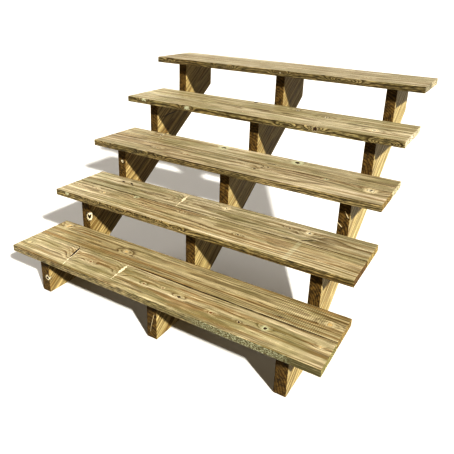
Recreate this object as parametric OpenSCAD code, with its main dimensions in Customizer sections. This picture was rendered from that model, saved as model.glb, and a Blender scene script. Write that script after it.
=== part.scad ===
// Outdoor timber stair: open treads of two boards each, on three sawtooth stringers.
// X runs along the treads, Y runs uphill towards the deck and Z is up.
// The origin is the centre of the middle stringer's rear plumb face.

/* [Treads] */
// Length of every tread board
tread_length = 1375; // [1000:5:1800]
// Width of one tread board, front to back
board_width = 145; // [115:1:180]
// Thickness of a tread board
board_thick = 28; // [18:1:45]
// Gap between the front and the back board of a tread
board_gap = 5; // [2:0.5:12]
// Radius of the eased edges along a board
edge_radius = 2; // [0.5:0.5:6]

/* [Steps] */
// Number of treads
step_count = 5; // [2:1:8]
// Height from one tread to the next
rise = 174; // [140:1:220]
// How far a tread's front edge stands out past its riser cut
nosing = 45; // [15:1:60]

/* [Stringers] */
// Thickness of a stringer
stringer_thick = 45; // [35:1:70]
// Timber left under the notches, measured square to the slope
throat = 112; // [90:1:150]
// Middle of the left stringer to the middle of the centre one
left_bay = 575; // [300:5:800]
// Middle of the centre stringer to the middle of the right one
right_bay = 529; // [300:5:800]
// How far the treads run past the left stringer's outer face
left_overhang = 107; // [40:1:250]

/* [Hidden] */
$fn = 48;

timber = "#a08a5c";
timber_dark = "#6f5c38";

// A tread's back edge meets the next riser cut, which sets the going.
tread_depth = 2 * board_width + board_gap;
going = tread_depth - nosing;
slope = atan(rise / going);
throat_plumb = throat / cos(slope);

// The rear plumb face stands level with the top tread's back edge.
top_seat = rise * step_count;
front_y = -going * (step_count - 1) - tread_depth;
ground_z = throat_plumb / 2 - top_seat;

// The foot runs back to where the underside, parallel to the slope, meets the ground.
foot_length = going * throat_plumb / rise;

left_end = -left_bay - stringer_thick / 2 - left_overhang;

// The two corners of each tooth: up the riser cut, then back along the seat
function tooth(step) = [
    [front_y + nosing + going * step, ground_z + rise * step],
    [front_y + nosing + going * step, ground_z + rise * (step + 1)]
];

function stringer_profile() = concat(
    [for (step = [0 : step_count - 1], corner = tooth(step)) corner],
    [[0, ground_z + top_seat], [0, ground_z + top_seat - throat_plumb]],
    [[front_y + nosing + foot_length, ground_z]]
);

// A sawtooth board standing on edge, its middle at x
module stringer(x) {
    color(timber_dark)
        translate([x - stringer_thick / 2, 0, 0])
        rotate([90, 0, 90])
        linear_extrude(stringer_thick)
        polygon(stringer_profile());
}

// A board's cross-section, with its four long edges eased
module board_section() {
    inner_width = board_width - 2 * edge_radius;
    inner_thick = board_thick - 2 * edge_radius;
    translate([edge_radius, 0]) square([inner_width, board_thick]);
    translate([0, edge_radius]) square([board_width, inner_thick]);
    for (y = [edge_radius, board_width - edge_radius])
        for (z = [edge_radius, board_thick - edge_radius])
            translate([y, z]) circle(edge_radius);
}

// One board of tread number step, counted from 1 at the bottom; row is 0 in front and 1 behind
module tread_board(step, row) {
    y = front_y + going * (step - 1) + row * (board_width + board_gap);
    color(timber)
        translate([left_end, y, ground_z + rise * step])
        rotate([90, 0, 90])
        linear_extrude(tread_length)
        board_section();
}

stringer(-left_bay);  // left_stringer
stringer(0);  // middle_stringer
stringer(right_bay);  // right_stringer
for (step = [1 : step_count]) {
    tread_board(step, 0);
    tread_board(step, 1);
}
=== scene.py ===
import math

import bmesh
import bpy
import numpy as np
from mathutils import Matrix, Vector


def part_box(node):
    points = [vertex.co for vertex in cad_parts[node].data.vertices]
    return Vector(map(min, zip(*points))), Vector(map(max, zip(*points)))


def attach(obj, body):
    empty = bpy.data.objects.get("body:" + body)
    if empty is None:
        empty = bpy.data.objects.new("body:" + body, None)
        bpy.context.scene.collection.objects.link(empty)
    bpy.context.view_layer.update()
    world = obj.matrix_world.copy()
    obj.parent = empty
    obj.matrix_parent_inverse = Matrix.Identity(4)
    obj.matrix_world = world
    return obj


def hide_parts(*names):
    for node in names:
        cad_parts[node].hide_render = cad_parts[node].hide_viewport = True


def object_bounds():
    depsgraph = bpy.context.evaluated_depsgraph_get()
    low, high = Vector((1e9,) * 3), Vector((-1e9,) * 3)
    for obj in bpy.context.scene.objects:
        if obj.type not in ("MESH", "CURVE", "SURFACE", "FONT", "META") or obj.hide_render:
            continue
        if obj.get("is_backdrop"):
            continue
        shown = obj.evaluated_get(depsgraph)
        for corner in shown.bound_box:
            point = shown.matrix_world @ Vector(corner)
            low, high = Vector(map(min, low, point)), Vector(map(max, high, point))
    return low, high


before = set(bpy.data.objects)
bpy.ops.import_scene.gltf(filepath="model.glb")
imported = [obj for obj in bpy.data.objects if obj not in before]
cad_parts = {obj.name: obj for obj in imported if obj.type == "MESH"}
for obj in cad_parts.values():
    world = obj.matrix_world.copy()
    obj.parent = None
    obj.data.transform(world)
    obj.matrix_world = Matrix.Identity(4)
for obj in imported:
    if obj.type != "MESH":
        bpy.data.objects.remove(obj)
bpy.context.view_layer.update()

MM = 0.001


# ---------------------------------------------------------------- noise in numpy

def lattice(ix, iy, seed):
    """A repeatable number from -1 to 1 for each whole-number place."""
    h = ix.astype(np.int64) * 374761393 + iy.astype(np.int64) * 668265263 + seed * 1274126177
    h = (h ^ (h >> 13)) * 1274126177
    h = (h ^ (h >> 16)) & 0xFFFFFF
    return h / float(0x7FFFFF) - 1.0


def noise2(x, y, seed):
    """Smooth value noise from -1 to 1."""
    ix, iy = np.floor(x), np.floor(y)
    fx, fy = x - ix, y - iy
    fx, fy = fx * fx * (3 - 2 * fx), fy * fy * (3 - 2 * fy)
    low = lattice(ix, iy, seed) * (1 - fx) + lattice(ix + 1, iy, seed) * fx
    high = lattice(ix, iy + 1, seed) * (1 - fx) + lattice(ix + 1, iy + 1, seed) * fx
    return low * (1 - fy) + high * fy


# ---------------------------------------------------------------- colours

def colour(r, g, b):
    return (r, g, b, 1.0)


def times(tone, r, g, b):
    return (min(1.0, tone[0] * r), min(1.0, tone[1] * g), min(1.0, tone[2] * b), 1.0)


EARLY = colour(0.457, 0.387, 0.222)
LATE = colour(0.120, 0.078, 0.024)
OLIVE = colour(0.215, 0.200, 0.080)
WARM = colour(0.370, 0.225, 0.080)
PALE = colour(0.860, 0.740, 0.480)
CREAM = colour(0.960, 0.880, 0.640)
EDGE_LIFT = colour(1.35, 1.30, 1.20)
FROST = colour(0.620, 0.650, 0.430)
FLAKE = colour(0.640, 0.640, 0.400)
MILDEW = colour(0.095, 0.088, 0.034)
# near black: the bark round knots, and also painted shade inside cracks and in the gap between boards
BARK_AND_PAINTED_SHADE = colour(0.018, 0.010, 0.006)
KNOT_BROWN = colour(0.170, 0.080, 0.025)
KNOT_BLACK = colour(0.022, 0.012, 0.006)
KNOT_PALE = colour(0.720, 0.540, 0.270)

# What a knot looks like: its core, how much of it is a dark dot, the tone round it, how far that
# reaches in knot radii, how strong it is, and how black the bark ring is.
KNOT_LOOKS = {
    "brown": dict(core=KNOT_BROWN, dot=0.0, halo=PALE, reach=2.4, much=0.55, rim=0.6),
    "black": dict(core=KNOT_BLACK, dot=0.0, halo=PALE, reach=2.0, much=0.45, rim=1.0),
    "pale": dict(core=KNOT_PALE, dot=0.0, halo=PALE, reach=2.4, much=0.6, rim=0.55),
    "eye": dict(core=CREAM, dot=0.42, halo=LATE, reach=1.9, much=0.5, rim=0.95),
    "frost": dict(core=KNOT_BLACK, dot=0.0, halo=FROST, reach=3.6, much=0.75, rim=0.2),
    "star": dict(core=CREAM, dot=0.3, halo=PALE, reach=2.6, much=0.75, rim=0.9),
    "streak": dict(core=CREAM, dot=0.0, halo=WARM, reach=2.0, much=0.45, rim=0.45),
}


# ---------------------------------------------------------------- what each timber has on it
#
# Places are in millimetres on the timber itself: along its grain from the left or lower end, across
# from its front or under edge, and out from its back or under face. The wide face that shows is the
# one at full thickness.

def knot(along, across, size, look="brown", **more):
    """A branch that ran out from the pith; size is its radius where it leaves the wide face."""
    made = dict(along=along, across=across, size=size, look=look, flow=1.0, axis=None, reach=None, out=None,
                ball=False)
    made.update(more)
    return made


def spike(along, across, size, reach, turn, **more):
    """A knot cut lengthwise, which lies across the face as a long pale streak."""
    a = math.radians(turn)
    return knot(along, across, size, look="streak", axis=(math.cos(a), math.sin(a), 0.0), reach=reach,
                flow=0.8, **more)


def front_knot(along, up, size, look="brown"):
    """A knot that comes out on a board's front edge, at a height above its underside."""
    return knot(along, 0.0, size, look=look, out=up, axis=(0.0, 1.0, 0.0), reach=70.0, flow=1.4)


def cut_knot(along, across, out, size, look="eye"):
    """A knot that shows on a face sawn across the grain, as if it were a ball."""
    return knot(along, across, size, look=look, out=out, ball=True)


def slit(along, across, length, width, turn=0.0, depth=2.2):
    """A drying crack that has opened on the wide face."""
    return dict(along=along, across=across, length=length, width=width, turn=turn, depth=depth)


# What each timber says about itself:
#   seed       picks its noise
#   pith       where the middle of its tree lies, across and out
#   ring       how far apart its rings are
#   olive      how much the treatment shows as green; warm, how much as brown streaks
#   tint       multiplies the planed faces, and edge the narrow ones as well
#   edge_lines how dark the rings are drawn on the narrow edges
#   sawn       the colour of its end grain
#   gap_from   where the gap to its neighbour starts to open; gap_painted_shade, how dark the gap's painted shade is
#   mottle, ripple  stretches with green bloom, and with planer ripple in relief and in painted light and
#   shade
#   mark       where a stacking batten has left its print
#   eyes       rings that close on the front edge: along, up, half length, how many rings
#   flakes     flaked places on the front edge: along, up, half length, half height
#   scrapes    pale scratches: from, to, width
PLAIN_EDGE = (0.60, 0.62, 0.62)
DARK_EDGE = (0.47, 0.46, 0.37)
TREADS = {
    "tread_1_front_board": dict(
        seed=11, pith=(40.0, -85.0), ring=7.4, olive=0.55, warm=0.5,
        tint=(0.94, 0.94, 1.0), edge=PLAIN_EDGE,
        edge_lines=0.18, sawn=(0.25, 0.23, 0.10), mottle=(860.0, 1290.0), gap_from=520.0, gap_painted_shade=0.7,
        knots=[spike(262, 100, 7.0, 60, 108), spike(515, 104, 7.0, 46, 97), knot(808, 75, 6.0, "black"),
               knot(369, 79, 5.0), knot(953, 58, 4.5), knot(1060, 65, 4.5, "black"),
               knot(1148, 85, 5.5, "frost"), knot(648, 73, 4.0), knot(725, 89, 4.0),
               knot(1336, 97, 4.5, "pale"), knot(34, 56, 5.0, "pale")],
        slits=[slit(260, 101, 98, 8.5, 108, 3.2), slit(700, 128, 90, 1.2, 1), slit(1195, 92, 60, 1.2, -1)]),
    "tread_1_back_board": dict(
        seed=12, pith=(78.0, -38.0), ring=6.6, olive=0.4, warm=0.7,
        tint=(0.90, 0.89, 0.88), edge=PLAIN_EDGE,
        sawn=(0.27, 0.20, 0.075), gap_from=520.0, gap_painted_shade=0.7, ripple=(1104.0, 1345.0),
        knots=[knot(58, 108, 11.0, "pale"), knot(1322, 72, 9.0, "pale"), knot(431, 71, 7.5, "pale")],
        slits=[slit(64, 112, 44, 5.0, 66), slit(475, 58, 130, 1.6, 1), slit(935, 62, 90, 1.6, -1),
               slit(1165, 20, 70, 1.6, 1)]),
    "tread_2_front_board": dict(
        seed=21, pith=(85.0, -70.0), ring=6.6, olive=0.45, warm=0.4,
        tint=(0.94, 0.94, 1.03), edge=DARK_EDGE,
        sawn=(0.12, 0.070, 0.018), mark=1126.0,
        eyes=[(216, 15, 42, 5), (361, 15, 46, 5), (485, 18, 34, 4), (566, 20, 30, 4), (665, 12, 40, 4)],
        knots=[knot(44, 99, 4.5), knot(138, 111, 4.5), knot(204, 93, 4.0, "pale"),
               knot(356, 134, 5.0, "frost"), knot(424, 94, 4.0, "black"), knot(905, 70, 4.5, "black"),
               knot(612, 118, 3.5)],
        flakes=[(67, 20, 15.0, 8.0)],
        slits=[slit(780, 60, 120, 1.0, 0)]),
    "tread_2_back_board": dict(
        seed=22, pith=(55.0, -60.0), ring=6.8, olive=0.5, warm=0.4, tint=(0.88, 0.90, 1.0), edge=DARK_EDGE,
        sawn=(0.32, 0.25, 0.10),
        knots=[knot(182, 92, 6.5, "black"), knot(228, 98, 6.0, "black"), spike(540, 80, 8.0, 50, 100),
               knot(743, 105, 9.5, "star"), knot(1045, 85, 5.0, "black"), knot(1124, 84, 10.0, "star")],
        slits=[slit(170, 96, 44, 5.0, 28), slit(240, 88, 40, 4.0, -35), slit(1143, 26, 66, 6.0, 34),
               slit(300, 40, 60, 1.2, 0)]),
    "tread_3_front_board": dict(
        seed=31, pith=(60.0, -110.0), ring=8.0, olive=0.45, warm=0.35,
        tint=(0.88, 0.88, 1.0), edge=DARK_EDGE,
        sawn=(0.23, 0.17, 0.065), eyes=[(297, 14, 36, 4), (394, 14, 36, 3), (85, 18, 30, 3)],
        knots=[knot(324, 75, 5.0), knot(493, 73, 5.0), knot(826, 81, 5.5, "black"),
               knot(846, 110, 5.0, "black"), knot(866, 130, 5.0, "black"),
               knot(1302, 116, 13.0, "star"), knot(1120, 138, 4.0, "frost")],
        slits=[slit(720, 103, 80, 1.6, 2), slit(1306, 128, 24, 2.5, 20)]),
    "tread_3_back_board": dict(
        seed=32, pith=(90.0, -75.0), ring=8.4, olive=0.45, warm=0.4,
        tint=(0.90, 0.92, 1.02), edge=DARK_EDGE,
        sawn=(0.48, 0.45, 0.30),
        knots=[knot(205, 114, 14.0, "eye"), knot(571, 110, 11.0, "frost"), knot(942, 112, 11.0, "frost"),
               knot(240, 60, 5.0)],
        slits=[slit(196, 116, 50, 5.5, 40), slit(586, 104, 26, 4.0, 60), slit(860, 30, 70, 1.4, 0)]),
    "tread_4_front_board": dict(
        seed=41, pith=(110.0, -50.0), ring=7.6, olive=0.5, warm=0.35,
        tint=(0.92, 0.95, 1.08), edge=DARK_EDGE,
        sawn=(0.60, 0.55, 0.42),
        eyes=[(1301, 8, 52, 5), (880, 12, 44, 3), (103, 18, 34, 3), (363, 12, 36, 3)],
        flakes=[(103, 21, 21.0, 9.0), (363, 16, 20.0, 10.0)],
        knots=[front_knot(1010, 18, 9.0, "black"), knot(1228, 96, 12.0, "star"), knot(640, 60, 4.0)],
        slits=[]),
    "tread_4_back_board": dict(
        seed=42, pith=(40.0, -85.0), ring=8.2, olive=0.45, warm=0.4,
        tint=(0.92, 0.95, 1.02), edge=DARK_EDGE,
        sawn=(0.54, 0.50, 0.36),
        knots=[knot(588, 130, 10.0, "black"), knot(830, 92, 11.0, "eye"), knot(989, 42, 10.0, "eye"),
               knot(330, 96, 5.0)],
        slits=[slit(1161, 26, 84, 6.0, 4), slit(606, 126, 40, 4.0, 30), slit(905, 50, 60, 1.1, 0)]),
    "tread_5_front_board": dict(
        seed=51, pith=(64.0, -55.0), ring=7.6, olive=0.35, warm=0.35,
        tint=(0.80, 0.82, 0.95), edge=DARK_EDGE,
        sawn=(0.24, 0.22, 0.15), eyes=[(415, 14, 56, 6), (722, 15, 36, 5), (1035, 15, 70, 6), (80, 8, 30, 3)],
        knots=[front_knot(415, 14, 3.0, "black"), front_knot(722, 16, 3.5, "eye"), knot(1110, 70, 6.0)],
        slits=[]),
    "tread_5_back_board": dict(
        seed=52, pith=(80.0, -38.0), ring=8.4, olive=0.35, warm=0.3,
        tint=(0.80, 0.82, 0.95), edge=DARK_EDGE,
        sawn=(0.44, 0.40, 0.28),
        knots=[knot(520, 70, 5.0), knot(980, 90, 5.5)],
        slits=[]),
}

CUT = (0.105, 0.067, 0.019)
STRINGERS = {
    "left_stringer": dict(
        seed=71, pith=(90.0, -26.0), ring=10.5, olive=0.15, warm=0.45,
        tint=(0.78, 0.71, 0.55), edge=DARK_EDGE,
        sawn=CUT,
        knots=[cut_knot(38, 167, 34.0, 13.5), cut_knot(354, 184, 45.0, 22.0), cut_knot(668, 200, 24.0, 8.0)],
        slits=[slit(1055, 140, 140, 4.5, -30), slit(979, 74, 30, 3.6, -40), slit(1000, 84, 26, 3.0, -40)]),
    "middle_stringer": dict(
        seed=72, pith=(60.0, -34.0), ring=11.0, olive=0.15, warm=0.55,
        tint=(0.74, 0.69, 0.54), edge=DARK_EDGE,
        sawn=CUT,
        knots=[knot(520, 60, 8.0)],
        slits=[slit(700, 70, 160, 1.4, 1)],
        scrapes=[((61, 200, 34), (31, 156, 20), 1.5), ((31, 156, 20), (15, 133, 16), 1.2)]),
    "right_stringer": dict(
        seed=73, pith=(120.0, -30.0), ring=10.0, olive=0.12, warm=0.4,
        tint=(0.95, 0.91, 0.74), edge=DARK_EDGE,
        sawn=CUT,
        knots=[cut_knot(62, 177, 20.0, 5.0, "brown"), knot(840, 50, 8.0)],
        slits=[slit(520, 66, 180, 1.4, -1)],
        scrapes=[((682, 216, 24), (667, 196, 40), 2.6), ((652, 173, 1), (643, 161, 19), 2.6)]),
}


# ---------------------------------------------------------------- relief on a timber's skin

# How high, in millimetres, the planer's long waves and the small dents are, how rough a face sawn
# across the grain is and how far it sinks, and how far a knot stands out and its rim sinks
WAVE_HEIGHT, DENT_HEIGHT = 0.10, 0.05
SAW_ROUGHNESS, SAW_SINK = 0.16, 0.12
KNOT_DOME, KNOT_RIM_SINK = 0.22, 0.28
# A knot cut lengthwise narrows towards the ends of its reach
STREAK_PART, STREAK_TAPER = 0.9, 3.5


def knot_axis(k, spec, size):
    """The way a branch ran: from the pith to where it shows, unless the knot says otherwise."""
    if k["axis"] is not None:
        return Vector(k["axis"]).normalized()
    pith_v, pith_w = spec["pith"]
    return Vector((0.0, k["across"] - pith_v, size[2] - pith_w)).normalized()


def knot_centre(k, size):
    return (k["along"], k["across"], size[2] if k["out"] is None else k["out"])


def relief(at, facing, spec, size):
    """How far each point of a timber's skin stands out, in millimetres."""
    u, v, w = at.T
    seed = spec["seed"]
    # planing leaves long shallow waves
    out = WAVE_HEIGHT * noise2(u / 90, v / 30 + w / 25, seed)
    out += DENT_HEIGHT * noise2(u / 22, v / 7 + w / 5, seed + 1)
    # faces sawn across the grain are rougher
    sawn = np.abs(facing[:, 0]) > 0.35
    out += np.where(sawn, SAW_ROUGHNESS * noise2((v - u) / 2.6, w / 8, seed + 2) - SAW_SINK, 0.0)
    # knots stand a little proud inside a sunken rim
    for k in spec["knots"]:
        away = at - np.array(knot_centre(k, size))
        if not k["ball"]:
            axis = np.array(knot_axis(k, spec, size))
            shift = away @ axis
            away = away - shift[:, None] * axis
            if k["reach"] is not None:
                away = away * (1 + STREAK_TAPER * (shift / (STREAK_PART * k["reach"])) ** 2)[:, None]
        r = np.linalg.norm(away, axis=1) / k["size"]
        rim = KNOT_LOOKS[k["look"]]["rim"]
        out += KNOT_DOME * np.exp(-(r / 0.75) ** 2)
        out -= KNOT_RIM_SINK * rim * np.exp(-((r - 1.05) / 0.22) ** 2)
    # opened drying cracks
    wide_face = (facing[:, 2] > 0.9) & (w > size[2] - 2.0)
    for crack in spec["slits"]:
        turn = math.radians(crack["turn"])
        ru, rv = u - crack["along"], v - crack["across"]
        s = ru * math.cos(turn) + rv * math.sin(turn)
        t = rv * math.cos(turn) - ru * math.sin(turn) + 0.8 * noise2(s / 11, s * 0, seed + 5)
        taper = np.sqrt(np.clip(1 - (2 * np.abs(s) / crack["length"]) ** 2, 0, 1))
        half = np.maximum(crack["width"] * taper / 2, 0.05)
        out -= np.where(wide_face, crack["depth"] * taper * np.exp(-(t / (half * 0.9)) ** 2), 0.0)
    return out


def mesh_object(name, points, faces):
    mesh = bpy.data.meshes.new(name)
    mesh.from_pydata([tuple(p) for p in points], [], faces)
    mesh.validate()
    mesh.shade_smooth()
    piece = bpy.data.objects.new(name, mesh)
    bpy.context.scene.collection.objects.link(piece)
    return piece


# ---------------------------------------------------------------- tread boards

# How far the long edges and the sawn ends are rounded, the grid lines in those bands, the usual
# and the close grid steps, and the room round knots and cracks that gets the close step, all in
# millimetres
EDGE_EASE = 2.4
END_EASE = 0.9
EDGE_LINES = (0.0, 0.7, 1.5, 2.4)
END_LINES = (0.0, 0.35, 0.9)
COARSE_U, FINE_U = 7.0, 3.0
COARSE_V, FINE_V = 5.2, 2.8
THICKNESS_STEP = 4.0
ROUND_KNOT_ROOM, LONG_KNOT_ROOM, KNOT_ROOM_ACROSS = 22.0, 36.0, 12.0
CRACK_ROOM, CRACK_ROOM_ACROSS = 5.0, 3.0
# Wear along the edges; how far each board reaches into the gap, everywhere and where it closes; how
# that closing fades about gap_from; and a gap_from before any board's left end, for an open gap
WORN_WITHIN, WORN_DEPTH = 3.0, 0.7
GAP_CLOSING, END_CLOSING = 0.7, 1.3
CLOSING_PAST, CLOSING_OVER = 180.0, 400.0
WHOLE_LENGTH = -400.0
# How far a board strays from straight: sideways, bowed up, and in slow dips
WANDER, BOW, DIP = 0.3, 0.14, 0.1


def stations(length, step, fine_at, fine_step, ends):
    """Places along a side: even steps, closer ones round each feature, and the eased ends."""
    marks = set(np.round(np.linspace(0, length, max(2, int(round(length / step)) + 1)), 3))
    for centre, half in fine_at:
        low, high = max(0, centre - half), min(length, centre + half)
        if high > low:
            marks |= set(np.round(np.arange(low, high, fine_step), 3))
    kept = []
    for m in sorted(m for m in marks if ends[-1] < m < length - ends[-1]):
        if not kept or m - kept[-1] > fine_step * 0.45:
            kept.append(m)
    return np.array(list(ends) + kept + [length - e for e in reversed(ends)])


def box_grid(xs, ys, zs):
    """The skin of a box on the given grid lines, as points and quads."""
    points, index, faces = [], {}, []

    def point(i, j, k):
        key = (i, j, k)
        if key not in index:
            index[key] = len(points)
            points.append((xs[i], ys[j], zs[k]))
        return index[key]

    nx, ny, nz = len(xs) - 1, len(ys) - 1, len(zs) - 1
    for i in range(nx):
        for j in range(ny):
            faces.append((point(i, j, nz), point(i + 1, j, nz), point(i + 1, j + 1, nz), point(i, j + 1, nz)))
            faces.append((point(i, j, 0), point(i, j + 1, 0), point(i + 1, j + 1, 0), point(i + 1, j, 0)))
        for k in range(nz):
            faces.append((point(i, 0, k), point(i + 1, 0, k), point(i + 1, 0, k + 1), point(i, 0, k + 1)))
            faces.append((point(i, ny, k), point(i, ny, k + 1), point(i + 1, ny, k + 1), point(i + 1, ny, k)))
    for j in range(ny):
        for k in range(nz):
            faces.append((point(0, j, k), point(0, j, k + 1), point(0, j + 1, k + 1), point(0, j + 1, k)))
            faces.append((point(nx, j, k), point(nx, j + 1, k), point(nx, j + 1, k + 1), point(nx, j, k + 1)))
    return np.array(points), faces


def ease(points, size):
    """Rounds the long edges and the sawn ends, and gives each point's outward direction."""
    out = points.copy()
    low = np.array([END_EASE, EDGE_EASE, EDGE_EASE])
    core = np.clip(points, low, size - low)
    off = points - core
    # round the section first
    corner = (np.abs(off[:, 1]) > 1e-9) & (np.abs(off[:, 2]) > 1e-9)
    length = np.hypot(off[:, 1], off[:, 2])
    reach = np.maximum(np.abs(off[:, 1]), np.abs(off[:, 2]))
    scale = np.where(corner, reach / np.maximum(length, 1e-9), 1.0)
    out[:, 1] = core[:, 1] + off[:, 1] * scale
    out[:, 2] = core[:, 2] + off[:, 2] * scale
    # then bring the section in a little towards each sawn end
    inset = END_EASE * (1 - np.sqrt(np.clip(1 - (off[:, 0] / END_EASE) ** 2, 0, 1)))
    for axis in (1, 2):
        middle = size[axis] / 2
        out[:, axis] -= (out[:, axis] - middle) / middle * inset
    normal = np.zeros_like(points)
    for axis in range(3):
        normal[:, axis] -= points[:, axis] <= 1e-6
        normal[:, axis] += points[:, axis] >= size[axis] - 1e-6
    rounded = length > 1e-9
    normal[rounded, 1:] = off[rounded, 1:] / length[rounded, None]
    return out, normal / np.linalg.norm(normal, axis=1)[:, None]


def tread_piece(name, spec):
    """A planed board with eased edges, a slight bow, knots, cracks and rough sawn ends."""
    low, high = (np.array(corner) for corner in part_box(name))
    size = (high - low) / MM
    fine_u, fine_v = [], []
    for k in spec["knots"]:
        fine_u.append((k["along"], ROUND_KNOT_ROOM if k["reach"] is None else LONG_KNOT_ROOM))
        fine_v.append((k["across"], KNOT_ROOM_ACROSS))
    for crack in spec["slits"]:
        turn = math.radians(crack["turn"])
        fine_u.append((crack["along"], abs(math.cos(turn)) * crack["length"] / 2 + CRACK_ROOM))
        fine_v.append((crack["across"], abs(math.sin(turn)) * crack["length"] / 2 + CRACK_ROOM_ACROSS))
    flat, faces = box_grid(stations(size[0], COARSE_U, fine_u, FINE_U, END_LINES),
                           stations(size[1], COARSE_V, fine_v, FINE_V, EDGE_LINES),
                           stations(size[2], THICKNESS_STEP, [], THICKNESS_STEP, EDGE_LINES))
    points, normal = ease(flat, size)
    out = relief(flat, normal, spec, size)
    # worn places and small dents along the long edges
    u, v, w = flat.T
    from_edge = np.minimum(v, size[1] - v) + np.minimum(w, size[2] - w)
    worn = np.clip(noise2(u / 34, v * 0 + 3.1, spec["seed"] + 3) - 0.35, 0, 1)
    out -= np.where(from_edge < WORN_WITHIN, worn * WORN_DEPTH * (1 - from_edge / WORN_WITHIN), 0.0)
    points = points + normal * out[:, None]
    # a tread's two boards lie a little closer than nominal, and on the lowest one they meet at the left
    inward = np.clip((normal[:, 1] * spec["gap_side"] - 0.3) / 0.5, 0, 1)
    together = np.clip((spec.get("gap_from", WHOLE_LENGTH) + CLOSING_PAST - u) / CLOSING_OVER, 0, 1)
    points[:, 1] += spec["gap_side"] * inward * (GAP_CLOSING + END_CLOSING * together)
    # no board is quite straight
    points[:, 1] += WANDER * noise2(u / 300, v * 0 + 9, spec["seed"] + 8)
    bow = BOW * np.sin(math.pi * u / size[0] + spec["seed"])
    points[:, 2] += bow + DIP * noise2(u / 420, v * 0, spec["seed"] + 7)
    return mesh_object("planed_" + name, points * MM + low, faces)


# ---------------------------------------------------------------- stringers

# How far the outer corners are eased, and the size of the grid on the faces, in millimetres
ARRIS = 1.3
GRID = 9.0


def stringer_skin(cad):
    """The solid's own outline with its outer corners eased and its faces cut into a fine grid."""
    skin = bmesh.new()
    skin.from_mesh(cad.data)
    skin.transform(cad.matrix_world)
    bmesh.ops.remove_doubles(skin, verts=skin.verts, dist=1e-5)
    bmesh.ops.dissolve_limit(skin, angle_limit=math.radians(1), verts=skin.verts, edges=skin.edges)
    bmesh.ops.recalc_face_normals(skin, faces=skin.faces)
    outer = [edge for edge in skin.edges if edge.is_convex]
    bmesh.ops.bevel(skin, geom=outer, offset=ARRIS * MM, offset_type="OFFSET", segments=2, profile=0.5,
                    affect="EDGES", clamp_overlap=True)
    for axis in range(3):
        places = [vert.co[axis] for vert in skin.verts]
        first, last = min(places), max(places)
        count = int((last - first) / (GRID * MM))
        for step in range(1, count):
            point, way = Vector((0, 0, 0)), Vector((0, 0, 0))
            point[axis] = first + (last - first) * step / count
            way[axis] = 1.0
            bmesh.ops.bisect_plane(skin, geom=skin.verts[:] + skin.edges[:] + skin.faces[:], dist=1e-6,
                                   plane_co=point, plane_no=way)
    skin.normal_update()
    points = np.array([vert.co[:] for vert in skin.verts])
    normals = np.array([vert.normal[:] for vert in skin.verts])
    faces = [tuple(vert.index for vert in face.verts) for face in skin.faces]
    skin.free()
    return points, normals, faces


def stringer_piece(name, spec, origin, axes, size):
    """A sawtooth plank: rough riser and seat cuts, smoother sides, knots and cracks."""
    points, normals, faces = stringer_skin(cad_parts[name])
    turned = np.array(axes).T
    at = (points - np.array(origin)) @ turned / MM
    out = relief(at, normals @ turned, spec, size)
    return mesh_object("sawn_" + name, points + normals * (out * MM)[:, None], faces)


# ---------------------------------------------------------------- node helpers

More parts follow.
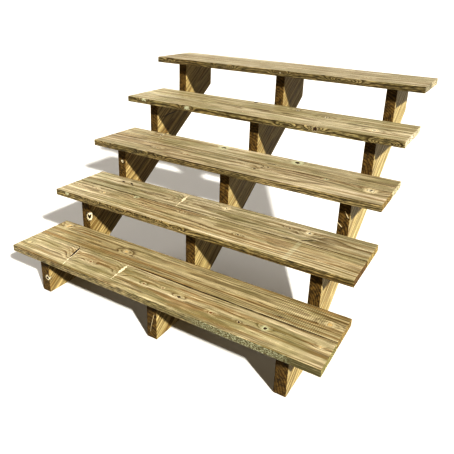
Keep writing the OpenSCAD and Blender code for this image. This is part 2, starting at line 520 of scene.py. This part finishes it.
class Nodes:
    """Builds one material's node tree with short calls."""

    def __init__(self, material):
        self.tree = material.node_tree
        self.tree.nodes.clear()

    def new(self, kind, **values):
        made = self.tree.nodes.new(kind)
        for key, value in values.items():
            setattr(made, key, value)
        return made

    def put(self, socket, value):
        if hasattr(value, "is_output"):
            self.tree.links.new(value, socket)
        else:
            socket.default_value = value

    def math(self, operation, a, b=0.0):
        made = self.new("ShaderNodeMath", operation=operation)
        self.put(made.inputs[0], a)
        self.put(made.inputs[1], b)
        return made.outputs[0]

    def add(self, *values):
        total = values[0]
        for value in values[1:]:
            total = self.math("ADD", total, value)
        return total

    def times(self, *values):
        total = values[0]
        for value in values[1:]:
            total = self.math("MULTIPLY", total, value)
        return total

    def swing(self, value, reach):
        """Turns a noise value about 0.5 into one about 0, reach wide either way for a full swing."""
        return self.times(self.math("SUBTRACT", value, 0.5), 2.0 * reach)

    def vec(self, operation, a, b=(0.0, 0.0, 0.0)):
        made = self.new("ShaderNodeVectorMath", operation=operation)
        self.put(made.inputs[0], a)
        self.put(made.inputs[1], b)
        return made.outputs["Value" if operation in ("DOT_PRODUCT", "LENGTH") else "Vector"]

    def scale(self, a, by):
        made = self.new("ShaderNodeVectorMath", operation="SCALE")
        self.put(made.inputs[0], a)
        self.put(made.inputs["Scale"], by)
        return made.outputs["Vector"]

    def noise(self, at, scale, detail, seed, rough=0.5):
        made = self.new("ShaderNodeTexNoise", noise_dimensions="4D")
        self.put(made.inputs["Vector"], at)
        made.inputs["W"].default_value = seed
        made.inputs["Scale"].default_value = scale
        made.inputs["Detail"].default_value = detail
        made.inputs["Roughness"].default_value = rough
        return made.outputs["Fac"]

    def smooth(self, value, low, high, to_low=0.0, to_high=1.0):
        made = self.new("ShaderNodeMapRange", interpolation_type="SMOOTHSTEP")
        self.put(made.inputs["Value"], value)
        made.inputs["From Min"].default_value = low
        made.inputs["From Max"].default_value = high
        made.inputs["To Min"].default_value = to_low
        made.inputs["To Max"].default_value = to_high
        return made.outputs["Result"]

    def mix(self, factor, a, b, blend="MIX"):
        made = self.new("ShaderNodeMix", data_type="RGBA", blend_type=blend)
        self.put(made.inputs[0], factor)
        self.put(made.inputs[6], a)
        self.put(made.inputs[7], b)
        return made.outputs[2]

    def shade(self, base, by):
        """Multiplies a colour by one number."""
        return self.mix(1.0, base, self.join(by, by, by), "MULTIPLY")

    def parts(self, vector):
        made = self.new("ShaderNodeSeparateXYZ")
        self.put(made.inputs[0], vector)
        return made.outputs[0], made.outputs[1], made.outputs[2]

    def join(self, x, y, z):
        made = self.new("ShaderNodeCombineXYZ")
        for socket, value in zip(made.inputs, (x, y, z)):
            self.put(socket, value)
        return made.outputs[0]

    def turned(self, vector, axes):
        """A vector's parts along the timber's own axes."""
        return self.join(*[self.vec("DOT_PRODUCT", vector, tuple(axis)) for axis in axes])

    def stretched(self, u, v, w, along, across, out):
        """A place to read noise at, drawn out along the grain."""
        return self.join(self.times(u, along), self.times(v, across), self.times(w, out))


# ---------------------------------------------------------------- the wood

# How fine each noise is along the grain, across it and out, in cycles a millimetre
PITH_WANDER = (0.0022, 0.010, 0.010)
RING_RIPPLE = (0.012, 0.07, 0.07)
FIBRE = (0.008, 0.34, 0.34)
HAIR = (0.026, 1.3, 1.3)
BAND = (0.0016, 0.075, 0.05)
PATCH = (0.005, 0.020, 0.020)
EDGE_STREAK = (0.035, 0.26, 0.26)
BLOOM_SPECK = (0.15, 0.28, 0.28)
# Rings that close on a front edge: half height, and how deep behind the edge they reach
EYE_HEIGHT, EYE_DEPTH = 13.0, 26.0
# How a knot bends the rings round it: how drawn out the bend is along the grain, how far it reaches
# in knot radii, and the push in millimetres that every knot has and each millimetre of radius adds
SWELL_STRETCH, SWELL_REACH = 0.42, 1.9
PUSH_LEAST, PUSH_BY_SIZE = 7.0, 1.1
# Ring spacing inside a knot, and the radius above which it counts as a large one
LARGE_KNOT = 5.0
LARGE_KNOT_RING, SMALL_KNOT_RING = 1.9, 1.3


def knot_fields(n, at, spec, size, seed):
    """How far each knot pushes the rings, and the distance from each knot's middle."""
    wobble = n.swing(n.noise(at, 0.11, 2.0, seed + 5), 1.25)
    push = 0.0
    fields = []
    for k in spec["knots"]:
        away = n.vec("SUBTRACT", at, knot_centre(k, size))
        fade = None
        if not k["ball"]:
            axis = tuple(knot_axis(k, spec, size))
            shift = n.vec("DOT_PRODUCT", away, axis)
            away = n.vec("SUBTRACT", away, n.scale(axis, shift))
            if k["reach"] is not None:
                fade = n.math("DIVIDE", n.math("ABSOLUTE", shift), k["reach"] * STREAK_PART)
        rho = n.add(n.vec("LENGTH", away), n.times(wobble, k["size"] * (0.5 if k["ball"] else 1.0)))
        near_u, near_v, near_w = n.parts(away)
        wide = n.vec("LENGTH", n.join(n.times(near_u, SWELL_STRETCH), near_v, near_w))
        swell = n.math("POWER", n.math("DIVIDE", wide, k["size"] * SWELL_REACH), 2.0)
        swell = n.math("EXPONENT", n.times(swell, -1.0))
        if fade is not None:
            rho = n.times(rho, n.add(1.0, n.times(fade, fade, STREAK_TAPER)))
            swell = n.times(swell, n.smooth(fade, 0.6, 1.3, 1.0, 0.0))
        push = n.add(n.times(swell, k["flow"] * (PUSH_LEAST + k["size"] * PUSH_BY_SIZE)), push)
        fields.append((k, rho))
    return push, fields


def ring_fields(n, u, v, w, push, spec, seed):
    """Late wood from 0 to 1, and each ring's own number, about a pith line that wanders."""
    slow = n.stretched(u, v, w, *PITH_WANDER)
    quick = n.stretched(u, v, w, *RING_RIPPLE)
    pith_v, pith_w = spec["pith"]
    dv = n.add(v, -pith_v, n.swing(n.noise(slow, 1.0, 1.5, seed), 23.0))
    dw = n.add(w, -pith_w, n.swing(n.noise(slow, 1.0, 1.5, seed + 9), 17.0))
    ripple = n.swing(n.noise(quick, 1.0, 2.0, seed + 3), 2.5)
    radius = n.add(n.vec("LENGTH", n.join(0.0, dv, dw)), ripple, push)
    # figure on the front edge, where the rings close into long eyes
    near_front = n.smooth(v, 3.0, EYE_DEPTH, 1.0, 0.0)
    for along, up, length, rings in spec.get("eyes", []):
        beside = n.times(n.add(u, -along), 1 / length)
        above = n.times(n.add(w, -up), 1 / EYE_HEIGHT)
        far = n.vec("LENGTH", n.join(beside, above, 0.0))
        far = n.add(far, n.times(ripple, 0.05))
        bulge = n.math("EXPONENT", n.times(far, far, -1.0))
        radius = n.add(radius, n.times(bulge, near_front, rings * spec["ring"]))
    uneven = n.swing(n.noise(n.join(n.times(radius, 0.05), 0.0, 0.0), 1.0, 1.0, seed + 7), 4.5)
    count = n.math("DIVIDE", n.add(radius, uneven), spec["ring"])
    place = n.math("FRACT", count)
    late = n.times(n.smooth(place, 0.30, 0.84), n.smooth(place, 0.88, 1.0, 1.0, 0.0))
    number = n.noise(n.join(n.times(n.math("FLOOR", count), 0.73), 0.0, 0.0), 1.0, 0.0, seed + 11)
    return late, number, ripple


def long_grain(n, u, v, w, late, number, ripple, spec, seed):
    """The colour of planed wood, and its fibre and hair-fine line values for the relief."""
    fibre = n.noise(n.stretched(u, n.add(v, ripple), w, *FIBRE), 1.0, 3.0, seed + 13, 0.6)
    hair = n.noise(n.stretched(u, v, w, *HAIR), 1.0, 2.0, seed + 15)
    drifting = n.add(v, n.times(ripple, 2.0))
    band = n.noise(n.stretched(u, drifting, w, *BAND), 1.0, 2.0, seed + 17)
    patch = n.noise(n.stretched(u, v, w, *PATCH), 1.0, 3.0, seed + 19, 0.55)
    base = n.mix(n.times(late, n.smooth(number, 0.30, 0.62, 0.45, 1.0)), EARLY, LATE)
    base = n.mix(n.smooth(band, 0.51, 0.64, 0.0, 0.50), base, PALE)
    base = n.mix(n.times(n.smooth(band, 0.48, 0.38), 0.9 * spec["warm"]), base, WARM)
    base = n.mix(n.smooth(band, 0.44, 0.32, 0.0, 0.42), base, LATE)
    base = n.mix(n.times(n.smooth(patch, 0.42, 0.66), spec["olive"]), base, OLIVE)
    dark_line = n.smooth(fibre, 0.40, 0.27, 0.0, 0.80)
    base = n.mix(dark_line, base, LATE)
    pale_line = n.smooth(fibre, 0.59, 0.72, 0.0, 0.75)
    base = n.mix(pale_line, base, PALE)
    tone = n.add(1.0, n.swing(fibre, 0.75), n.swing(hair, 0.95))
    return n.shade(base, tone), fibre, hair, patch


def sawn_grain(n, at, late, spec, seed):
    """The colour of a face sawn across the grain, and its pores."""
    pore = n.noise(at, 0.55, 3.0, seed + 21, 0.65)
    blotch = n.noise(at, 0.085, 4.0, seed + 33, 0.6)
    sawn = spec["sawn"]
    tone = n.mix(n.times(late, 0.85), times(sawn, 1.2, 1.2, 1.2), times(sawn, 0.45, 0.34, 0.24))
    tone = n.shade(tone, n.add(1.0, n.swing(pore, 1.5)))
    return n.shade(tone, n.add(1.0, n.swing(blotch, 2.0))), pore


def add_knots(n, base, at, fields, pore, seed):
    """Paints the knots over the wood and gives the dark lines round them."""
    broken = n.smooth(n.noise(at, 0.12, 1.0, seed + 29), 0.38, 0.55, 0.3, 1.0)
    lines = 0.0
    for k, rho in fields:
        look = KNOT_LOOKS[k["look"]]
        size = k["size"]
        halo = n.smooth(rho, size, size * look["reach"], look["much"], 0.0)
        base = n.mix(n.times(halo, n.smooth(pore, 0.30, 0.55, 0.4, 1.0)), base, look["halo"])
        spacing = LARGE_KNOT_RING if size > LARGE_KNOT else SMALL_KNOT_RING
        rings = n.math("FRACT", n.math("DIVIDE", rho, spacing))
        core = n.mix(n.smooth(rings, 0.3, 0.95, 0.0, 0.45), look["core"], KNOT_BROWN)
        if look["dot"]:
            core = n.mix(n.smooth(rho, size * look["dot"], size * look["dot"] * 1.4, 1.0, 0.0), core, BARK_AND_PAINTED_SHADE)
        base = n.mix(n.smooth(rho, size * 0.82, size * 1.08, 1.0, 0.0), base, core)
        line = n.times(n.smooth(rho, size * 0.78, size * 0.98), n.smooth(rho, size, size * 1.24, 1.0, 0.0))
        line = n.times(line, look["rim"], broken)
        base = n.mix(line, base, BARK_AND_PAINTED_SHADE)
        lines = n.math("MAXIMUM", line, lines)
    return base, lines


def add_slits(n, base, at, out_facing, lines, spec, size, seed):
    """Blackens the inside of each drying crack with painted shade."""
    for crack in spec["slits"]:
        a = math.radians(crack["turn"])
        rel = n.vec("SUBTRACT", at, (crack["along"], crack["across"], size[2]))
        s = n.vec("DOT_PRODUCT", rel, (math.cos(a), math.sin(a), 0.0))
        t = n.vec("DOT_PRODUCT", rel, (-math.sin(a), math.cos(a), 0.0))
        bend = n.swing(n.noise(n.join(n.times(s, 0.09), 0.0, 0.0), 1.0, 2.0, seed + 31), 1.2)
        taper = n.math("POWER", n.math("DIVIDE", n.math("ABSOLUTE", s), crack["length"] / 2), 2.0)
        taper = n.math("SUBTRACT", 1.0, taper)
        over = n.math("SUBTRACT", n.math("ABSOLUTE", n.add(t, bend)), n.times(taper, crack["width"] / 2))
        line = n.times(n.smooth(over, -0.2, 0.45, 1.0, 0.0), n.smooth(taper, 0.0, 0.1),
                       n.smooth(out_facing, 0.3, 0.6))
        # painted shade inside the crack
        base = n.mix(line, base, BARK_AND_PAINTED_SHADE)
        lines = n.math("MAXIMUM", line, lines)
    return base, lines


def add_scrapes(n, base, at, pore, spec):
    """Pale scratches, each along a straight line between two places on the timber."""
    for start, end, width in spec.get("scrapes", []):
        start, end = Vector(start), Vector(end)
        way = (end - start).normalized()
        rel = n.vec("SUBTRACT", at, tuple(start))
        reach = n.vec("DOT_PRODUCT", rel, tuple(way))
        beside = n.vec("LENGTH", n.vec("SUBTRACT", rel, n.scale(tuple(way), reach)))
        line = n.times(n.smooth(beside, width * 0.5, width, 1.0, 0.0), n.smooth(reach, -2.0, 2.0),
                       n.smooth(reach, (end - start).length - 2.0, (end - start).length + 2.0, 1.0, 0.0),
                       n.smooth(pore, 0.32, 0.50, 0.3, 0.85))
        base = n.mix(line, base, PALE)
    return base


def add_flakes(n, base, at, u, w, edge_face, spec, seed):
    """Pale places on a front edge where the surface has flaked, with a dark broken outline."""
    ragged = n.swing(n.noise(at, 0.16, 3.0, seed + 37, 0.6), 1.6)
    for middle_u, middle_w, half_length, half_height in spec.get("flakes", []):
        beside = n.times(n.add(u, -middle_u), 1 / half_length)
        above = n.times(n.add(w, -middle_w), 1 / half_height)
        away = n.add(n.vec("LENGTH", n.join(beside, above, 0.0)), ragged)
        rim = n.times(n.smooth(away, 0.72, 0.92), n.smooth(away, 1.0, 1.3, 1.0, 0.0), edge_face, 0.75)
        base = n.mix(rim, base, LATE)
        base = n.mix(n.times(n.smooth(away, 0.62, 0.82, 1.0, 0.0), edge_face, 0.9), base, FLAKE)
    return base


# Lengths in millimetres over which the green bloom and the planer's ripple fade in and out
BLOOM_START, BLOOM_END = 120.0, 60.0
RIPPLE_START, RIPPLE_END = 40.0, 60.0
# The planer's ripple from crest to crest
RIPPLE_WAVE = 7.4
# How dark the painted shade in the gap between two boards is where it is closed and where it is
# open, and the length over which one becomes the other
GAP_CLOSED_PAINTED_SHADE, GAP_OPEN_PAINTED_SHADE, GAP_SHADE_GROWS_OVER = 0.30, 0.45, 60.0
# Half the width of a batten's print, where it is whole and where it has faded out
PRINT_CORE, PRINT_FADE = 7.0, 11.0
# The depth in metres that one unit of the relief stands for, and how rough and glossy the wood is
BUMP_DEPTH = 0.0010
ROUGHNESS, SPECULAR = 0.58, 0.3


def wood_material(name, spec, origin, axes, size):
    """Softwood worked out through the solid: rings about a pith line, so faces, edges and ends agree."""
    material = bpy.data.materials.new(name)
    material.use_nodes = True
    n = Nodes(material)
    seed = spec["seed"] * 1.37
    coordinates = n.new("ShaderNodeTexCoord")
    from_corner = n.scale(n.vec("SUBTRACT", coordinates.outputs["Object"], tuple(origin)), 1 / MM)
    at = n.turned(from_corner, axes)
    u, v, w = n.parts(at)
    along, across, out = n.parts(n.turned(coordinates.outputs["Normal"], axes))

    push, fields = knot_fields(n, at, spec, size, seed)
    late, number, ripple = ring_fields(n, u, v, w, push, spec, seed)
    base, fibre, hair, patch = long_grain(n, u, v, w, late, number, ripple, spec, seed)
    sawn_base, pore = sawn_grain(n, at, late, spec, seed)

    # the narrow edges are coloured darker than the wide faces, and their ring lines stand out dark
    edge_face = n.smooth(n.math("ABSOLUTE", across), 0.5, 0.85)
    lifted = n.mix(1.0, base, EDGE_LIFT, "MULTIPLY")
    edge_base = n.mix(n.times(late, spec.get("edge_lines", 0.85)), lifted, LATE)
    streaks = n.noise(n.stretched(u, v, w, *EDGE_STREAK), 1.0, 3.0, seed + 43, 0.65)
    edge_base = n.shade(n.mix(1.0, edge_base, colour(*spec["edge"]), "MULTIPLY"),
                        n.add(1.0, n.swing(streaks, 2.6)))
    base = n.mix(edge_face, base, edge_base)
    # painted shade: the faces inside the gap between a tread's two boards are darkened towards near black
    if spec.get("gap_side"):
        inner = n.smooth(n.times(across, spec["gap_side"]), 0.30, 0.70)
        gap_from = spec.get("gap_from", WHOLE_LENGTH)
        shown = n.smooth(u, gap_from, gap_from + GAP_SHADE_GROWS_OVER, GAP_CLOSED_PAINTED_SHADE,
                         spec.get("gap_painted_shade", GAP_OPEN_PAINTED_SHADE))
        base = n.mix(n.times(inner, shown), base, BARK_AND_PAINTED_SHADE)
    base = add_flakes(n, base, at, u, w, edge_face, spec, seed)
    if spec.get("mottle"):
        # green bloom in pale specks on wood that has gone dark as far as the end
        first, last = spec["mottle"]
        specks = n.noise(n.stretched(u, v, w, *BLOOM_SPECK), 1.0, 4.0, seed + 41, 0.7)
        bloom = n.smooth(specks, 0.49, 0.56)
        start = n.smooth(u, first, first + BLOOM_START)
        here = n.times(start, n.smooth(u, last - BLOOM_END, last, 1.0, 0.0))
        base = n.mix(n.times(start, edge_face, 0.75), base, MILDEW)
        base = n.mix(n.times(bloom, here, edge_face, 0.8), base, FROST)
    if spec.get("mark"):
        # the print of a stacking batten
        apart = n.math("ABSOLUTE", n.add(u, -spec["mark"], n.times(ripple, 0.6)))
        print_mark = n.times(n.smooth(apart, PRINT_CORE, PRINT_FADE, 1.0, 0.0),
                             n.smooth(patch, 0.35, 0.5, 0.25, 0.6))
        base = n.mix(n.times(print_mark, n.smooth(out, 0.5, 0.9), 0.35), base, FROST)
    base = n.mix(1.0, base, colour(*spec["tint"]), "MULTIPLY")
    sawn_face = n.smooth(n.math("ABSOLUTE", along), 0.40, 0.56)
    base = n.mix(sawn_face, base, sawn_base)
    base, lines = add_knots(n, base, at, fields, pore, seed)
    base, lines = add_slits(n, base, at, out, lines, spec, size, seed)
    base = add_scrapes(n, base, at, pore, spec)

    # relief: hard latewood ridges, fibre lines, pores and the planer's ripple
    height = n.add(n.times(late, 0.22), n.times(fibre, 0.30), n.times(hair, 0.22),
                   n.times(pore, sawn_face, 0.6), n.times(lines, -0.6))
    if spec.get("ripple"):
        first, last = spec["ripple"]
        wave = n.times(n.math("SINE", n.times(u, 2 * math.pi / RIPPLE_WAVE)),
                       n.smooth(u, first, first + RIPPLE_START),
                       n.smooth(u, last - RIPPLE_END, last, 1.0, 0.0))
        height = n.add(height, n.times(wave, 0.28))
        # painted light and shade: the colour is lighter on the ripple's crests and darker in its troughs
        base = n.shade(base, n.add(0.94, n.times(wave, 0.16)))
    bump = n.new("ShaderNodeBump")
    bump.inputs["Strength"].default_value = 1.0
    bump.inputs["Distance"].default_value = BUMP_DEPTH
    n.put(bump.inputs["Height"], height)

    shader = n.new("ShaderNodeBsdfPrincipled")
    n.put(shader.inputs["Base Color"], base)
    n.put(shader.inputs["Roughness"], n.add(ROUGHNESS, n.swing(fibre, 0.18), n.times(sawn_face, 0.18)))
    shader.inputs["Specular IOR Level"].default_value = SPECULAR
    n.put(shader.inputs["Normal"], bump.outputs[0])
    output = n.new("ShaderNodeOutputMaterial")
    n.put(output.inputs["Surface"], shader.outputs[0])
    return material


# ---------------------------------------------------------------- the pieces

def finish_piece(piece, node, spec, origin, axes, size):
    piece.data.materials.append(wood_material("wood_" + node, spec, origin, axes, size))
    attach(piece, "root")
    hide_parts(node)


TREAD_AXES = (Vector((1, 0, 0)), Vector((0, 1, 0)), Vector((0, 0, 1)))
for board, spec in TREADS.items():
    low, high = (Vector(corner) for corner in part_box(board))
    spec["gap_side"] = 1.0 if "front" in board else -1.0
    size = tuple((high - low) / MM)
    finish_piece(tread_piece(board, spec), board, spec, low, TREAD_AXES, size)

first_board = Vector(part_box("tread_1_front_board")[0])
second_board = Vector(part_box("tread_2_front_board")[0])
UPHILL = Vector((0, second_board.y - first_board.y, second_board.z - first_board.z)).normalized()
STRINGER_AXES = (UPHILL, Vector((0, -UPHILL.z, UPHILL.y)), Vector((1, 0, 0)))
# a corner less than this above the lowest one stands on the ground, in metres
ON_GROUND = 1e-4
for name, spec in STRINGERS.items():
    low, high = (Vector(corner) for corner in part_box(name))
    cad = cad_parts[name]
    corners = [cad.matrix_world @ vert.co for vert in cad.data.vertices]
    heel = Vector((low.x, max(point.y for point in corners if point.z < low.z + ON_GROUND), low.z))
    origin = heel - UPHILL * (heel - low).dot(UPHILL)
    size = ((high - low).dot(UPHILL) / MM, 0.0, (high.x - low.x) / MM)
    piece = stringer_piece(name, spec, origin, STRINGER_AXES, size)
    finish_piece(piece, name, spec, origin, STRINGER_AXES, size)


# ---------------------------------------------------------------- floor, light and camera

low, high = (Vector(corner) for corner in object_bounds())
middle = (low + high) / 2

FLOOR_TONE = (0.85, 0.85, 0.85, 1)
SKY_TONE, SKY_STRENGTH = (1.0, 0.86, 0.66, 1), 0.16
FLOOR_RADIUS, WALL_RADIUS, WALL_HEIGHT = 8.0, 14.0, 5.0
INNER_RADII = (1.0, 3.0, 5.5, FLOOR_RADIUS)
CURVE_STEPS, AROUND = 16, 96


def studio_bowl(centre, ground):
    """A round pale floor that curves up into a wall, so no horizon shows from any side."""
    rings = [(radius, 0.0) for radius in INNER_RADII]
    for step in range(1, CURVE_STEPS + 1):
        bend = step / CURVE_STEPS * math.pi / 2
        rings.append((FLOOR_RADIUS + (WALL_RADIUS - FLOOR_RADIUS) * math.sin(bend),
                      WALL_HEIGHT * (1 - math.cos(bend))))
    points = [(centre.x, centre.y, ground)]
    for radius, height in rings:
        for spoke in range(AROUND):
            a = 2 * math.pi * spoke / AROUND
            points.append((centre.x + radius * math.cos(a), centre.y + radius * math.sin(a), ground + height))
    faces = [(0, 1 + spoke, 1 + (spoke + 1) % AROUND) for spoke in range(AROUND)]
    for ring in range(len(rings) - 1):
        for spoke in range(AROUND):
            a = 1 + ring * AROUND + spoke
            b = 1 + ring * AROUND + (spoke + 1) % AROUND
            faces.append((a, a + AROUND, b + AROUND, b))
    return mesh_object("floor", points, faces)


floor_material = bpy.data.materials.new("pale_floor")
floor_material.use_nodes = True
floor_shader = floor_material.node_tree.nodes["Principled BSDF"]
floor_shader.inputs["Base Color"].default_value = FLOOR_TONE
floor_shader.inputs["Roughness"].default_value = 0.9
floor = studio_bowl(middle, low.z)
floor.data.materials.append(floor_material)
# the floor throws no light back up, which keeps the shade under the treads as deep as in sunlight
floor.visible_diffuse = False
floor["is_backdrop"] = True

world = bpy.data.worlds.new("studio")
world.use_nodes = True
sky = world.node_tree.nodes["Background"]
sky.inputs["Color"].default_value = SKY_TONE
sky.inputs["Strength"].default_value = SKY_STRENGTH
bpy.context.scene.world = world

KEY_FROM = Vector((1.33, -0.775, 1.0))
FILL_FROM = Vector((-0.90, 0.95, 0.75))


def sun(name, energy, spread, tone, source, shines=True):
    light = bpy.data.lights.new(name, "SUN")
    light.energy = energy
    light.angle = math.radians(spread)
    light.color = tone
    lamp = bpy.data.objects.new(name, light)
    bpy.context.scene.collection.objects.link(lamp)
    lamp.rotation_euler = source.to_track_quat("Z", "Y").to_euler()
    lamp.visible_glossy = shines


# the key gives the crisp shadows; the fill softly lights the back and the far wall
sun("key", 5.2, 2.5, (1.0, 0.97, 0.91), KEY_FROM)
sun("fill", 1.9, 50.0, (1.0, 0.98, 0.95), FILL_FROM, shines=False)

# the camera that took the photo, found by fitting the corners of the boards
SENSOR_WIDTH, LENS, SHIFT_Y = 36.0, 39.29, -0.1035
YAW, PITCH, ROLL = 30.05, 20.52, 2.04
FROM_LOW_CORNER = Vector((1.70316, -1.15772, 1.2229))

camera_data = bpy.data.cameras.new("camera")
camera_data.sensor_width = SENSOR_WIDTH
camera_data.lens = LENS
camera_data.shift_y = SHIFT_Y
camera = bpy.data.objects.new("camera", camera_data)
bpy.context.scene.collection.objects.link(camera)
yaw, pitch, roll = (math.radians(angle) for angle in (YAW, PITCH, ROLL))
forward = Vector((-math.sin(yaw) * math.cos(pitch), math.cos(yaw) * math.cos(pitch), -math.sin(pitch)))
right = Vector((math.cos(yaw), math.sin(yaw), 0))
up = right.cross(forward)
right, up = right * math.cos(roll) + up * math.sin(roll), up * math.cos(roll) - right * math.sin(roll)
camera.location = low + FROM_LOW_CORNER
camera.rotation_euler = Matrix((right, up, -forward)).transposed().to_euler()
camera_data.clip_start = 0.05
camera_data.clip_end = 200
bpy.context.scene.camera = camera

bpy.context.scene.view_settings.view_transform = "Standard"
bpy.context.scene.view_settings.look = "High Contrast"
